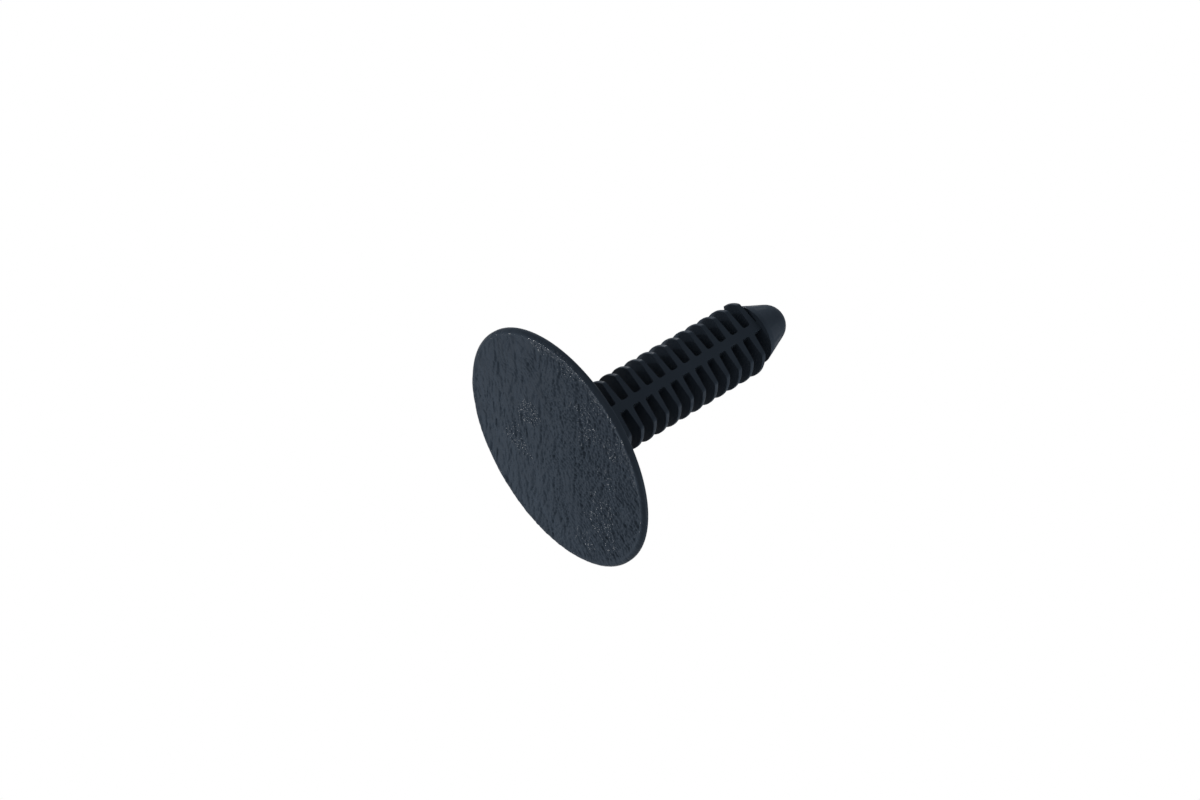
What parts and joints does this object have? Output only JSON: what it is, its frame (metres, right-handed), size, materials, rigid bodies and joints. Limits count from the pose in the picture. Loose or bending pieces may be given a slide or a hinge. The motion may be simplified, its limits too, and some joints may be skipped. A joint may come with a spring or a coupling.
{
  "type": "push rivet",
  "caption": "One-piece fir-tree push rivet: a thin round leather-grained head on a flat-webbed stem with staggered flexible fins and a blunt conical nose.",
  "frame": {"origin": "centre of the head's seating face, where it bears on the panel", "axes": "+Z along the stem towards its nose, +X across the width of the web, +Y the way the fins of the trimmed-corner side stick out"},
  "size_m": [0.025, 0.025, 0.0299],
  "materials": {
    "moulded_plastic": "dark blue-grey moulded nylon, leather-grained on the head's outer face and smooth on the stem"
  },
  "bodies": {
    "root": {"push_rivet": "moulded_plastic"}
  },
  "joints": []
}
